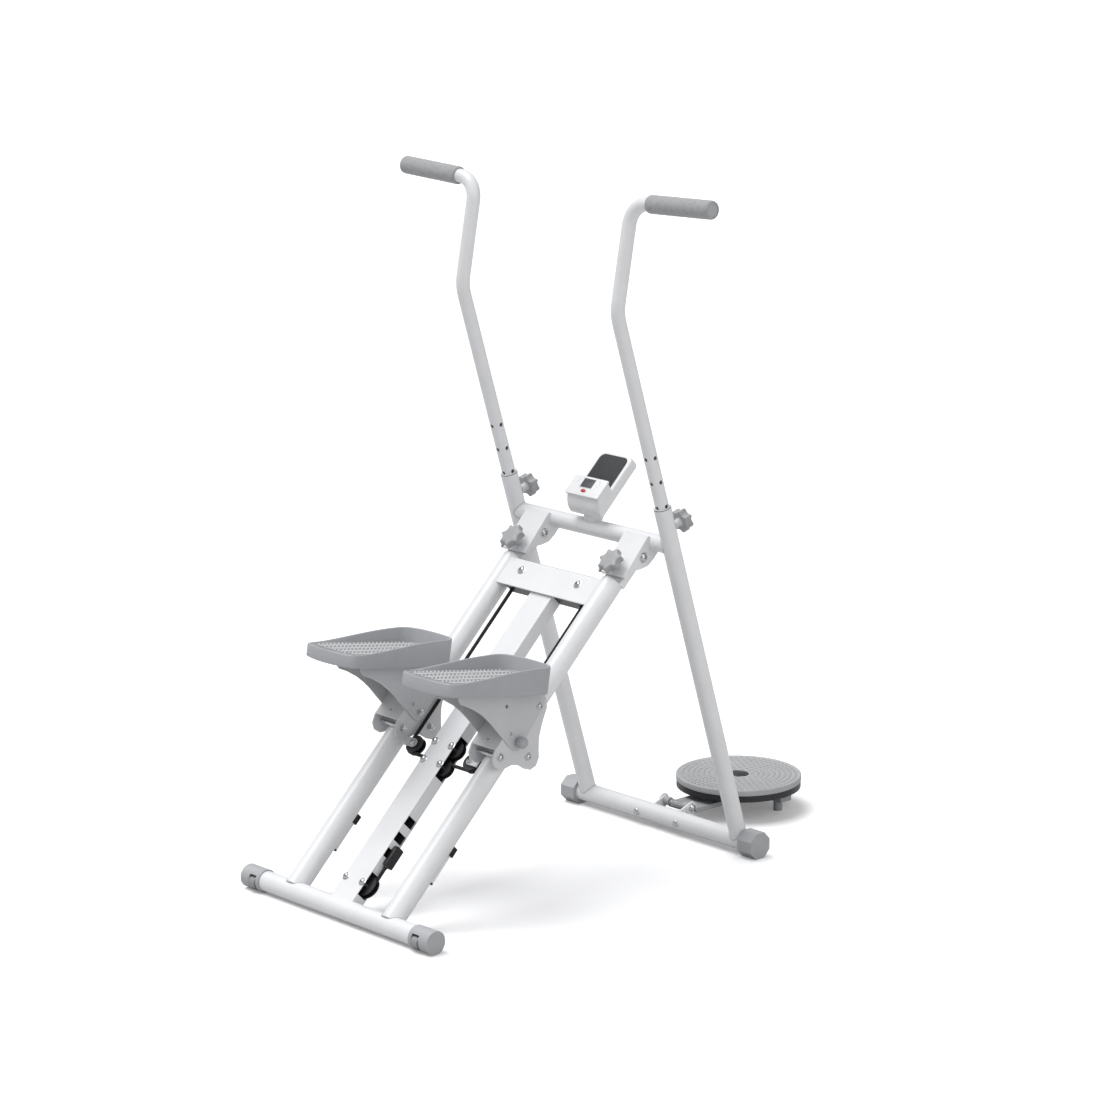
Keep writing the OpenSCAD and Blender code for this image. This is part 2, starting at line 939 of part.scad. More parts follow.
right_grip();
left_height_knob();
right_height_knob();
console();
phone_pad();
console_button();
disc_bracket();
disc_arm();
disc_base();
disc_plate();
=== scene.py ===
"""Looks of the folding rail stepper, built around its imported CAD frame.

Shapes are written in millimetres in the same local frames as the CAD: along the rails, along the
uprights, on the console and on each pedal. Blender gets them in metres, in the row frame.
"""
import json
import math

import bmesh
import bpy
from mathutils import Matrix, Vector


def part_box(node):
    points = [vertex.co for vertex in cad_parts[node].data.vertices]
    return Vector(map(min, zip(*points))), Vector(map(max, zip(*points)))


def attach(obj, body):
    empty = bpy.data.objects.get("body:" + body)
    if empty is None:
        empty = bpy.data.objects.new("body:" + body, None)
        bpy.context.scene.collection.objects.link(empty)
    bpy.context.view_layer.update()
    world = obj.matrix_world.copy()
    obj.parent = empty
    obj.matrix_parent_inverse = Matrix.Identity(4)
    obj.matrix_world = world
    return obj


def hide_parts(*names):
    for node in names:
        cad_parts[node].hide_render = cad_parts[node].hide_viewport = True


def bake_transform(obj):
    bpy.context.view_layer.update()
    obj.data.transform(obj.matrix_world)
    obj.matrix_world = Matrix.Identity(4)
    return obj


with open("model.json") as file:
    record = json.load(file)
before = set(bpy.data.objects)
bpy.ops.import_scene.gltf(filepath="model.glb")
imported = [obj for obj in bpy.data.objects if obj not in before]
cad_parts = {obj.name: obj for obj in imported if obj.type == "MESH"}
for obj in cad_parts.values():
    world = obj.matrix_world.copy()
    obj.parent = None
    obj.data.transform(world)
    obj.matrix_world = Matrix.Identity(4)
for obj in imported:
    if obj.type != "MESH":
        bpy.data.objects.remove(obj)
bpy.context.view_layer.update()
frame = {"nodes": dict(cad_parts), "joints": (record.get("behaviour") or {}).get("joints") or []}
JOINTS = {j["name"]: j for j in frame["joints"]}
NODES = frame["nodes"]
SIDES = (("left", -1), ("right", 1))
MM = 0.001


# ---------- places ----------

def centre(node):
    low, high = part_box(node)
    return (low + high) / 2


def axes_at(origin, up):
    """Local frame at origin (metres): X stays X, Z points along up."""
    z = Vector(up).normalized()
    x = Vector((1, 0, 0))
    y = z.cross(x)
    return Matrix.Translation(origin) @ Matrix((x, y, z)).transposed().to_4x4()


def at(x=0.0, y=0.0, z=0.0):
    return Matrix.Translation(Vector((x, y, z)) * MM)


def turn(angle, axis):
    return Matrix.Rotation(math.radians(angle), 4, axis)


FRONT = centre("front_stabilizer")
BASE = centre("rear_base")
RAIL_DIR = Vector(JOINTS["left_carriage_slide"]["axis"])
UPRIGHT_DIR = Vector(JOINTS["left_handle_slide"]["axis"])
RAILS = axes_at(FRONT, Vector((1, 0, 0)).cross(RAIL_DIR))
CONSOLE = axes_at(FRONT + Vector((0, 0.697, 0.725)),
                  -Vector(JOINTS["console_button_press"]["axis"]))
DISC = Vector(JOINTS["disc_spin"]["pos_m"])
X_OUT = turn(90, "Y")  # turns a local Z into +X
X_IN = turn(-90, "Y")  # turns a local Z into -X
ACROSS = Matrix(((0, 0, 1, 0), (1, 0, 0, 0), (0, 1, 0, 0), (0, 0, 0, 1)))  # local XYZ into YZX

RAIL_X, UPRIGHT_X = 154, 239
TOP_PULLEY = (88, 843)  # X and place along the rails
CARRIAGE_PULLEY = (91, 396)
ROPE_DEPTH = -7.0  # height of the rope's middle over the rail axis
ROPE_R = 4.0
LOCK_PIN, TOP_PIN = (463, 16), (551, 20)  # place along the rails, height over the rail axis
PEDAL_PITCH = 9.2
PEDAL_W, PEDAL_L = 155.0, 312.0
HEEL_Y = -14  # the heel's middle stands behind the origin of the pedal frame
HEEL_BOW, TOE_BOW = 18, 15  # how far the corners of each end stand in from its middle
PEDAL_FLOOR = 26.0


def upright_frame(sign):
    return at(sign * UPRIGHT_X) @ axes_at(BASE, UPRIGHT_DIR)


def pedal_frame(sign):
    return Matrix.Translation(FRONT) @ at(sign * RAIL_X, 100, 477) @ turn(-PEDAL_PITCH, "X")


# ---------- shape building ----------

def arc(cx, cy, r, start, end, steps):
    """Points on an arc, in degrees, ends included."""
    return [
        (cx + r * math.cos(math.radians(a)), cy + r * math.sin(math.radians(a)))
        for a in (start + (end - start) * i / steps for i in range(steps + 1))
    ]


def rounded_rect(x0, x1, y0, y1, r, steps=6):
    """Anticlockwise outline with round corners; the number of points depends on steps only."""
    return (
        arc(x1 - r, y0 + r, r, -90, 0, steps)
        + arc(x1 - r, y1 - r, r, 0, 90, steps)
        + arc(x0 + r, y1 - r, r, 90, 180, steps)
        + arc(x0 + r, y0 + r, r, 180, 270, steps)
    )


def filleted(points, radius, steps=4):
    """The outline with each corner rounded, all alike or one radius each, as edges allow."""
    out = []
    count = len(points)
    for i, p in enumerate(points):
        here = Vector(p)
        before, after = Vector(points[i - 1]) - here, Vector(points[(i + 1) % count]) - here
        half = before.angle(after) / 2
        if half > math.radians(86):
            out.append(tuple(here))
            continue
        r = radius[i] if isinstance(radius, list) else radius
        reach = min(r / math.tan(half), 0.45 * before.length, 0.45 * after.length)
        a, b = here + before.normalized() * reach, here + after.normalized() * reach
        for k in range(steps + 1):
            t = k / steps
            out.append(tuple(a * (1 - t) ** 2 + here * 2 * t * (1 - t) + b * t * t))
    return out


class Shape:
    """Vertices and faces of one piece, in millimetres in its local frame."""

    def __init__(self):
        self.verts, self.faces, self.kinds = [], [], []

    def add(self, verts, faces, place=Matrix(), kind=0):
        base = len(self.verts)
        self.verts += [place @ (Vector(v) * MM) for v in verts]
        self.faces += [[base + i for i in f] for f in faces]
        self.kinds += [kind] * len(faces)

    def rings(self, loops, place=Matrix(), kind=0, closed=False, caps=True):
        """Skin over loops of 3-D points that all have the same count."""
        n = len(loops[0])
        verts = [p for loop in loops for p in loop]
        spans = len(loops) if closed else len(loops) - 1
        faces = [
            [k * n + i, k * n + (i + 1) % n, (k + 1) % len(loops) * n + (i + 1) % n,
             (k + 1) % len(loops) * n + i]
            for k in range(spans)
            for i in range(n)
        ]
        if caps and not closed:
            faces.append(list(range(n))[::-1])
            faces.append([(len(loops) - 1) * n + i for i in range(n)])
        self.add(verts, faces, place, kind)

    def lathe(self, profile, place=Matrix(), kind=0, turns=48, closed=False, caps=True):
        """Turns (r, z) points about Z. Profiles run from the lower end up, or round when closed."""
        loops = [
            [(r * math.cos(2 * math.pi * i / turns), r * math.sin(2 * math.pi * i / turns), z)
             for i in range(turns)]
            for r, z in profile
        ]
        self.rings(loops, place, kind, closed, caps)

    def prism(self, outline, z0, z1, place=Matrix(), kind=0, edge=0.0, steps=3):
        """Outline raised from z0 to z1 with its edges rounded by edge."""
        loops = []
        n = len(outline)
        normals = []
        for i in range(n):
            along = Vector(outline[(i + 1) % n]) - Vector(outline[i - 1])
            normals.append(Vector((along.y, -along.x)).normalized())
        levels = [(0.0, z0), (0.0, z1)]
        if edge:
            bend = [math.radians(90 * k / steps) for k in range(steps + 1)]
            low = [(edge * (1 - math.sin(a)), z0 + edge * (1 - math.cos(a))) for a in bend]
            high = [(edge * (1 - math.sin(a)), z1 - edge * (1 - math.cos(a))) for a in bend]
            levels = low + high[::-1]
        for inset, z in levels:
            loops.append([(p[0] - m.x * inset, p[1] - m.y * inset, z)
                          for p, m in zip(outline, normals)])
        self.rings(loops, place, kind)

    def box(self, x0, x1, y0, y1, z0, z1, place=Matrix(), kind=0, edge=1.0):
        outline = rounded_rect(x0, x1, y0, y1, edge, 2)
        self.prism(outline, z0, z1, place, kind, edge * 0.6, 2)

    def sweep(self, path, radius, place=Matrix(), kind=0, sides=12, closed=False, ripple=0.0):
        """Round section carried along a path; ripple swells it like a weld bead."""
        points = [Vector(p) for p in path]
        count = len(points)
        loops = []
        normal = None
        for i, p in enumerate(points):
            ahead = points[(i + 1) % count] if closed or i < count - 1 else p
            behind = points[i - 1] if closed or i > 0 else p
            along = (ahead - behind).normalized()
            if normal is None:
                normal = along.orthogonal().normalized()
            normal = (normal - along * normal.dot(along)).normalized()
            side = along.cross(normal)
            r = radius * (1 + ripple * math.sin(i * 2.1) + ripple * 0.6 * math.sin(i * 0.9))
            loops.append([
                p + (normal * math.cos(a) + side * math.sin(a)) * r
                for a in (2 * math.pi * k / sides for k in range(sides))
            ])
        self.rings(loops, place, kind, closed)

    def piece(self, name, body, finishes, world=Matrix(), replaces=(), slot=None, smooth=35):
        """Makes the object with its finishes and, if body is given, lets it ride on that body."""
        mesh = bpy.data.meshes.new(name)
        mesh.from_pydata(self.verts, [], self.faces)
        bm = bmesh.new()
        bm.from_mesh(mesh)
        bm.faces.ensure_lookup_table()
        for face, kind in zip(bm.faces, self.kinds):
            face.material_index = kind
        bmesh.ops.remove_doubles(bm, verts=bm.verts, dist=1e-7)
        bmesh.ops.recalc_face_normals(bm, faces=bm.faces)
        bm.to_mesh(mesh)
        bm.free()
        mesh.shade_smooth()
        mesh.set_sharp_from_angle(angle=math.radians(smooth))
        obj = bpy.data.objects.new(name, mesh)
        bpy.context.scene.collection.objects.link(obj)
        obj.matrix_world = world
        for finish in finishes:
            mesh.materials.append(finish)
        if body:
            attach(obj, body)
        if replaces:
            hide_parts(*replaces)
        return obj


# ---------- finishes ----------

class Finish:
    """A principled material whose colour, gloss and grain come from noise in object space."""

    def __init__(self, name, colour, roughness, metallic=0.0, coat=0.0, sheen=0.0, specular=0.5):
        self.material = bpy.data.materials.new(name)
        self.material.use_nodes = True
        self.nodes, self.links = self.material.node_tree.nodes, self.material.node_tree.links
        self.shader = self.nodes["Principled BSDF"]
        self.colour, self.roughness = colour, roughness
        self.set("Base Color", (*colour, 1))
        self.set("Roughness", roughness)
        self.set("Metallic", metallic)
        self.set("Coat Weight", coat)
        self.set("Coat Roughness", 0.12)
        self.set("Sheen Weight", sheen)
        self.set("Specular IOR Level", specular)
        self.place = self.node("ShaderNodeTexCoord").outputs["Object"]
        self.height = None

    def set(self, socket, value):
        self.shader.inputs[socket].default_value = value

    def node(self, kind, **inputs):
        made = self.nodes.new(kind)
        for name, value in inputs.items():
            made.inputs[name.replace("_", " ")].default_value = value
        return made

    def noise(self, size, detail=3.0):
        """Noise whose features are about size millimetres across."""
        made = self.node("ShaderNodeTexNoise", Scale=1 / (size * MM), Detail=detail)
        self.links.new(self.place, made.inputs["Vector"])
        return made.outputs["Fac"]

    def cells(self, size):
        made = self.node("ShaderNodeTexVoronoi", Scale=1 / (size * MM))
        self.links.new(self.place, made.inputs["Vector"])
        return made.outputs["Distance"]

    def math(self, operation, a, b=0.0):
        made = self.nodes.new("ShaderNodeMath")
        made.operation = operation
        for socket, value in zip(made.inputs, (a, b)):
            if isinstance(value, float):
                socket.default_value = value
            else:
                self.links.new(value, socket)
        return made.outputs["Value"]

    def spread(self, value, low, high, out_low, out_high):
        made = self.node("ShaderNodeMapRange")
        self.links.new(value, made.inputs["Value"])
        limits = zip(("From Min", "From Max", "To Min", "To Max"), (low, high, out_low, out_high))
        for name, limit in limits:
            made.inputs[name].default_value = limit
        return made.outputs["Result"]

    def tone(self, source, low, high, dark, light):
        """Colour that runs from dark to light times the base colour as source goes low to high."""
        ramp = self.nodes.new("ShaderNodeValToRGB")
        for element, spot, share in zip(ramp.color_ramp.elements, (low, high), (dark, light)):
            element.position = spot
            element.color = (*(min(1.0, c * share) for c in self.colour), 1)
        self.links.new(source, ramp.inputs["Fac"])
        self.links.new(ramp.outputs["Color"], self.shader.inputs["Base Color"])

    def gloss(self, source, change):
        rough = self.spread(source, 0.3, 0.7, self.roughness - change, self.roughness + change)
        self.links.new(rough, self.shader.inputs["Roughness"])

    def relief(self, source, depth, strength=1.0):
        """Bump whose full height is depth millimetres; calls stack."""
        bump = self.node("ShaderNodeBump", Strength=strength, Distance=depth * MM)
        self.links.new(source, bump.inputs["Height"])
        if self.height is not None:
            self.links.new(self.height, bump.inputs["Normal"])
        self.height = bump.outputs["Normal"]
        self.links.new(self.height, self.shader.inputs["Normal"])


def powder_coat(name, colour, roughness=0.34):
    """Baked powder paint: slow tone drift, fine orange peel and a thin clear gloss."""
    f = Finish(name, colour, roughness, coat=0.25)
    f.tone(f.noise(60), 0.3, 0.7, 0.975, 1.02)
    f.gloss(f.noise(18), 0.05)
    f.relief(f.noise(2.2, 1.0), 0.05, 0.35)
    f.relief(f.noise(0.5, 1.0), 0.012, 0.3)
    return f.material


def moulded(name, colour, roughness=0.5, grain=0.45):
    """Injection moulded plastic with a fine spark-eroded grain."""
    f = Finish(name, colour, roughness)
    f.tone(f.noise(30), 0.3, 0.7, 0.96, 1.03)
    f.gloss(f.noise(9), 0.06)
    f.relief(f.noise(0.9, 2.0), 0.05, grain)
    return f.material


def plated(name, colour, roughness):
    """Bright plated steel with faint handling marks."""
    f = Finish(name, colour, roughness, metallic=1.0)
    f.tone(f.noise(5), 0.35, 0.7, 0.86, 1.05)
    f.gloss(f.noise(2.5, 5.0), 0.07)
    f.relief(f.noise(1.2, 4.0), 0.02, 0.3)
    return f.material


def rubber(name, colour):
    """Dull rubber: dusty patches and a coarse skin."""
    f = Finish(name, colour, 0.72, specular=0.3)
    f.tone(f.noise(12, 5.0), 0.35, 0.75, 0.8, 1.5)
    f.gloss(f.noise(4), 0.1)
    f.relief(f.noise(0.7, 3.0), 0.08, 0.6)
    return f.material


def foam(name, colour):
    """Closed-cell foam: small open pores over a soft, uneven skin."""
    f = Finish(name, colour, 0.86, sheen=0.25, specular=0.25)
    pores = f.cells(1.1)
    f.tone(f.math("MULTIPLY", f.noise(7, 6.0), f.math("ADD", pores, 0.7)), 0.25, 0.75, 0.86, 1.08)
    f.gloss(f.noise(3), 0.06)
    f.relief(pores, 0.25, 0.55)
    f.relief(f.noise(4.0, 3.0), 0.4, 0.35)
    return f.material


def braid(name, colour):
    """Braided cord: two sets of strands that cross around the local Z axis."""
    f = Finish(name, colour, 0.8, sheen=0.2, specular=0.3)
    split = f.nodes.new("ShaderNodeSeparateXYZ")
    f.links.new(f.place, split.inputs["Vector"])
    angle = f.math("MULTIPLY", f.math("ARCTAN2", split.outputs["Y"], split.outputs["X"]), 8.0)
    run = f.math("MULTIPLY", split.outputs["Z"], 1900.0)
    one = f.math("SINE", f.math("ADD", angle, run))
    two = f.math("SINE", f.math("SUBTRACT", angle, run))
    weave = f.math("MULTIPLY", one, two)
    f.tone(f.spread(weave, -1.0, 1.0, 0.0, 1.0), 0.2, 0.8, 0.6, 1.7)
    f.gloss(f.noise(3), 0.08)
    f.relief(weave, 0.5, 0.8)
    return f.material


def display_glass(name):
    """Unlit liquid crystal panel under a clear window."""
    f = Finish(name, (0.07, 0.075, 0.085), 0.38, specular=0.3)
    f.tone(f.noise(9), 0.3, 0.7, 0.85, 1.2)
    f.gloss(f.noise(6), 0.05)
    return f.material


def ribbed_pad(name):
    """Soft pad with rows of fine ribs across the console."""
    f = Finish(name, (0.035, 0.036, 0.04), 0.62, specular=0.35)
    split = f.nodes.new("ShaderNodeSeparateXYZ")
    f.links.new(f.place, split.inputs["Vector"])
    across = f.math("SINE", f.math("MULTIPLY", split.outputs["X"], 2400.0))
    along = f.math("SINE", f.math("MULTIPLY", split.outputs["Y"], 2400.0))
    dots = f.math("MULTIPLY", across, along)
    f.tone(f.spread(dots, -1.0, 1.0, 0.0, 1.0), 0.3, 0.9, 0.8, 1.8)
    f.gloss(f.noise(5), 0.06)
    f.relief(dots, 0.25, 0.7)
    return f.material


WHITE = powder_coat("white_powder_coat", (0.80, 0.805, 0.82))
# The carriages' white powder coat, painted darker for the shade they sit in under the pedals.
CARRIAGE_SHADED_WHITE = powder_coat("carriage_white_painted_shade", (0.62, 0.625, 0.64), 0.4)
PALE = powder_coat("pale_grey_powder_coat", (0.53, 0.535, 0.55), 0.42)
ARM_GREY = powder_coat("grey_powder_coat", (0.36, 0.37, 0.385), 0.45)
BLACK_PAINT = powder_coat("black_powder_coat", (0.03, 0.03, 0.032), 0.45)
GREY = moulded("grey_plastic", (0.385, 0.395, 0.415))
TREAD = moulded("grey_tread", (0.60, 0.605, 0.615), 0.55)
FLOOR_GREY = moulded("grey_tread_ground", (0.26, 0.265, 0.275), 0.6)
CAP_GREY = moulded("grey_cap_plastic", (0.42, 0.425, 0.44), 0.5)
KNOB_GREY = moulded("grey_knob_plastic", (0.37, 0.375, 0.385), 0.48)
BOSS_GREY = moulded("pale_knob_boss", (0.62, 0.625, 0.635), 0.45)
DISC_GREY = moulded("grey_disc_plastic", (0.41, 0.415, 0.425), 0.52)
ROLLER_GREY = moulded("grey_nylon", (0.30, 0.305, 0.31), 0.4)
SHELL_WHITE = moulded("white_shell", (0.80, 0.805, 0.815), 0.32, 0.15)
BLACK_NYLON = moulded("black_nylon", (0.016, 0.016, 0.018), 0.38)
RED = moulded("red_button", (0.48, 0.012, 0.015), 0.28, 0.1)
MARKS = moulded("grey_print", (0.42, 0.43, 0.45), 0.5, 0.1)
BLACK_RUBBER = rubber("black_rubber", (0.02, 0.02, 0.021))
GREY_RUBBER = rubber("grey_rubber", (0.25, 0.25, 0.26))
FOAM = foam("grey_foam", (0.36, 0.362, 0.37))
BRAID = braid("black_braid", (0.012, 0.012, 0.013))
CHROME = plated("chrome", (0.66, 0.66, 0.67), 0.12)
ZINC = plated("zinc_plate", (0.66, 0.665, 0.67), 0.22)
GLASS = display_glass("display_glass")
PAD = ribbed_pad("phone_pad_rubber")


# ---------- finishes and soft edges of the CAD nodes ----------

NODE_FINISH = {
    WHITE: ["front_stabilizer", "centre_beam", "top_plate", "rear_base", "crossbar", "disc_bracket",
            "left_rail", "right_rail", "left_upright", "right_upright", "left_fold_bracket",
            "right_fold_bracket", "left_handle", "right_handle"],
    CARRIAGE_SHADED_WHITE: ["left_carriage", "right_carriage"],
    PALE: ["left_pedal_bracket", "right_pedal_bracket"],
    ARM_GREY: ["disc_arm"],
    BLACK_PAINT: ["pulley_housing"],
    CAP_GREY: ["front_caps", "rear_caps"],
    KNOB_GREY: ["left_fold_knob", "right_fold_knob", "left_height_knob", "right_height_knob"],
    GREY: ["left_pedal", "right_pedal"],
    DISC_GREY: ["disc_plate"],
    SHELL_WHITE: ["console"],
    PAD: ["phone_pad"],
    RED: ["console_button"],
    ROLLER_GREY: ["left_upper_roller", "right_upper_roller", "left_rear_roller",
                  "right_rear_roller", "left_floor_roller", "right_floor_roller"],
    BLACK_NYLON: ["disc_base", "resistance_hook", "left_top_pulley", "right_top_pulley",
                  "left_upper_beam_pulley", "right_upper_beam_pulley", "left_lower_beam_pulley",
                  "right_lower_beam_pulley", "foot_pulley", "left_rope_pulley",
                  "right_rope_pulley"],
    BLACK_RUBBER: ["stop_pads"],
    GREY_RUBBER: ["left_lock_pin", "right_lock_pin"],
    FOAM: ["left_grip", "right_grip"],
    BRAID: ["left_rope", "right_rope"],
    ZINC: ["pulley_bolts", "left_carriage_bolts", "right_carriage_bolts", "frame_bolts"],
}
SOFT_EDGE = {"left_top_pulley": 0.8, "right_top_pulley": 0.8, "foot_pulley": 0.8,
             "left_rope_pulley": 0.8, "right_rope_pulley": 0.8, "left_upper_beam_pulley": 0.8,
             "right_upper_beam_pulley": 0.8, "left_lower_beam_pulley": 0.8,
             "right_lower_beam_pulley": 0.8, "disc_base": 1.2, "rear_caps": 2.0,
             "front_caps": 1.2, "centre_beam": 1.6, "top_plate": 0.6,
             "left_carriage": 0.7, "right_carriage": 0.7, "left_pedal_bracket": 0.5,
             "right_pedal_bracket": 0.5, "left_fold_bracket": 0.5, "right_fold_bracket": 0.5,
             "disc_arm": 1.2, "pulley_housing": 0.8, "stop_pads": 1.5, "disc_bracket": 0.5}

for finish, names in NODE_FINISH.items():
    for name in names:
        for material_slot in NODES[name].material_slots:
            material_slot.material = finish

for name, width in SOFT_EDGE.items():
    bevel = NODES[name].modifiers.new("soft_edges", "BEVEL")
    bevel.width = width * MM
    bevel.segments = 2
    bevel.limit_method = "ANGLE"
    bevel.angle_limit = math.radians(40)


# ---------- fasteners and knobs ----------

def hexagon(theta, flats):
    """Distance from the centre to a hexagon of that width across its flats."""
    return flats / 2 / math.cos(math.radians((math.degrees(theta) % 60) - 30))


def button_head(shape, place, d, h):
    """Low round head with a hexagon socket, on a thin washer."""
    turns = 36
    base = 1.1
    shape.lathe([(d * 0.45, 0), (d * 0.66, 0), (d * 0.66, 0.8), (d * 0.62, base),
                 (d * 0.45, base)], place, turns=turns)
    angles = [2 * math.pi * i / turns for i in range(turns)]
    profile = [(d / 2, 0.0), (d / 2, h * 0.14)]
    profile += [(d * 0.5 * math.cos(a) ** 0.7, h * (0.14 + 0.86 * math.sin(a) ** 1.1))
                for a in (math.radians(x) for x in (20, 38, 54))]
    loops = [[(r * math.cos(a), r * math.sin(a), base + z) for a in angles] for r, z in profile]
    for z in (h, h * 0.45):
        loops.append([(hexagon(a, d * 0.36) * math.cos(a), hexagon(a, d * 0.36) * math.sin(a),
                       base + z) for a in angles])
    shape.rings(loops, place)


def dome(shape, place, d, h, kind=0):
    """Plain rounded bolt head."""
    bend = [math.radians(90 * i / 8) for i in range(8)]
    shape.lathe([(d / 2, 0)]
                + [(d / 2 * math.cos(a), h * (0.15 + 0.85 * math.sin(a))) for a in bend]
                + [(0.3, h)], place, kind, 36)


def hex_nut(shape, place, flats, h, stud, tail):
    """Chamfered nut with the threaded end of its bolt standing out of it."""
    turns = 36
    angles = [2 * math.pi * i / turns for i in range(turns)]

    def loop(limit, z):
        return [(min(hexagon(a, flats), limit) * math.cos(a),
                 min(hexagon(a, flats), limit) * math.sin(a), z) for a in angles]

    shape.lathe([(stud, 0), (flats * 0.68, 0), (flats * 0.68, 0.9), (stud, 0.9)], place,
                turns=turns)
    shape.rings([loop(flats * 0.52, 0.9), loop(flats, 1.5), loop(flats, h),
                 loop(flats * 0.52, h + 0.7)], place)
    profile = [(stud * 0.8, h)]
    z = h + 0.6
    while z < h + tail:
        profile += [(stud, z), (stud * 0.88, z + 0.45)]
        z += 0.9
    shape.lathe(profile + [(stud * 0.7, h + tail + 0.4)], place, turns=20)


def star_outline(d, lobes, inset):
    """One turn of a star grip: a circle with a round hollow between each pair of lobes."""
    out = []
    steps = 12
    hollow_at, hollow_r = d * 0.64, d * 0.25
    for i in range(lobes * steps):
        a = 2 * math.pi * i / (lobes * steps)
        off = (a + math.pi / lobes) % (2 * math.pi / lobes) - math.pi / lobes
        r = d / 2
        inside = hollow_r ** 2 - (hollow_at * math.sin(off)) ** 2
        if inside > 0:
            r = min(r, hollow_at * math.cos(off) - math.sqrt(inside))
        out.append(((r - inset) * math.cos(a), (r - inset) * math.sin(a)))
    return out


def star_knob(name, world, d, base_z, top_z, boss):
    """Seven-lobed knob with rounded edges, a shallow crown, a pale boss and a stud."""
    shape = Shape()
    levels = [(5.0, 0.0), (1.6, 0.0), (0.4, 0.6), (0.0, 2.0), (0.0, 15.0), (0.5, 17.2), (1.8, 18.8),
              (4.0, 19.6), (9.0, 20.0)]
    scale = (top_z - base_z) / 20.0
    loops = [[(x, y, base_z + z * scale) for x, y in star_outline(d, 7, inset)]
             for inset, z in levels]
    shape.rings(loops)
    shape.lathe([(9.5, top_z - 0.6), (9.5, top_z + 0.2), (8.6, top_z + 0.2), (8.2, top_z - 0.9)],
                kind=0, turns=40)
    low, r = boss
    shape.lathe([(r, low), (r + 0.6, low + 0.8), (r + 0.6, low + 3), (r - 0.6, low + 4.4),
                 (r - 0.2, base_z - 2), (r + 2.4, base_z + 1)], kind=1, turns=36)
    shape.lathe([(5.0, low - 14), (5.0, low + 1)], kind=2, turns=24)
    shape.piece(name + "_grip", name, [KNOB_GREY, BOSS_GREY, ZINC], world, [name])


def build_knobs():
    for side, sign in SIDES:
        star_knob(f"{side}_fold_knob", RAILS @ at(sign * RAIL_X, 907), 57, 30, 46, (15.0, 8.6))
        star_knob(f"{side}_height_knob", upright_frame(sign) @ at(0, 0, 763) @ turn(-90, "X"),
                  51, 36, 57, (19.6, 8.6))


def build_carriage_hardware():
    rods = {"front": (412, 29.6), "rear": (457, -33.8), "upper": (530, 33.6)}
    plate_face, bracket_face = 37.6, 40.9
    for side, sign in SIDES:
        world = RAILS @ at(sign * RAIL_X)
        inner = turn(-sign * 90, "Y")
        outer = turn(sign * 90, "Y")
        shape = Shape()
        for key in ("front", "rear"):
            s, n = rods[key]
            shape.lathe([(4, -38), (4, 38)], at(0, s, n) @ X_OUT, 0, 24)
            button_head(shape, at(sign * plate_face, s, n) @ outer, 14, 5)
            hex_nut(shape, at(-sign * plate_face, s, n) @ inner, 12.5, 5.5, 4, 6)
        shape.lathe([(4, -37.4), (4, 37.4)], at(0, *rods["upper"]) @ X_OUT, 0, 24)
        button_head(shape, at(sign * bracket_face, *TOP_PIN) @ outer, 13, 4.8)
        for pin in (TOP_PIN, LOCK_PIN):
            hex_nut(shape, at(-sign * bracket_face, *pin) @ inner, 12, 5, 3, 5.5)
        pulley = at(sign * (CARRIAGE_PULLEY[0] - RAIL_X), CARRIAGE_PULLEY[1])
        shape.lathe([(4, 5), (4, -17)], pulley, 0, 20)
        button_head(shape, pulley @ at(0, 0, 5), 13, 4.6)
        hex_nut(shape, pulley @ at(0, 0, -15.2) @ turn(180, "X"), 11, 5, 3.6, 2)
        shape.piece(f"{side}_carriage_hardware", f"{side}_carriage", [ZINC], world,
                    [f"{side}_carriage_bolts"], smooth=40)


def build_rail_hardware():
    shape = Shape()
    for _, sign in SIDES:
        pulley = at(sign * TOP_PULLEY[0], TOP_PULLEY[1])
        shape.lathe([(4, -25), (4, 20)], pulley, 0, 24)
        button_head(shape, pulley @ at(0, 0, 19), 15, 5)
        hex_nut(shape, pulley @ at(0, 0, -22) @ turn(180, "X"), 13, 5, 4, 2)
        for s in (66, 365, 411):
            shape.lathe([(4, -22), (4, 12.5)], at(sign * 26, s), 0, 24)
            button_head(shape, at(sign * 26, s, 12), 13.5, 4.8)
            hex_nut(shape, at(sign * 26, s, -19.4) @ turn(180, "X"), 11, 4, 3.6, 2)
    shape.piece("pulley_hardware", "rail_frame", [ZINC], RAILS, ["pulley_bolts"], smooth=40)


def build_frame_hardware():
    shape = Shape()
    for _, sign in SIDES:
        pin = RAILS @ at(sign * RAIL_X, 953, -4)
        shape.lathe([(6, -35.5), (6, 35.5)], pin @ X_OUT, 0, 24)
        button_head(shape, pin @ at(35.1) @ X_OUT, 17, 5.6)
        button_head(shape, pin @ at(-35.1) @ X_IN, 17, 5.6)
        dome(shape, Matrix.Translation(BASE) @ at(sign * 62, -20.6) @ turn(90, "X"), 16, 5.4)
        screw = RAILS @ at(sign * RAIL_X - 38.2, 893, 13)
        button_head(shape, screw @ X_IN, 9, 3)
    hinge = Matrix.Translation(FRONT) @ at(0, 975, 22)
    shape.lathe([(5.0, -21.6), (6.4, -21), (6.4, 21), (5.0, 21.6)], hinge @ X_OUT, 0, 40)
    for out in (X_OUT, X_IN):
        ear = hinge @ out @ at(0, 0, 42.05)
        shape.lathe([(4.2, 0), (14.0, 0), (15.0, 0.8), (15.0, 2.6), (14.0, 3.4), (4.2, 3.4)],
                    ear, 2, 48)
        button_head(shape, ear @ at(0, 0, 3.4), 16, 6)
        dome(shape, hinge @ at(0, 9.5, -7.5) @ out @ at(0, 0, 45.2), 5, 1.2, 1)
    shape.piece("frame_hardware", "upright_frame", [CHROME, BLACK_NYLON, WHITE], Matrix(),
                ["frame_bolts"], smooth=40)


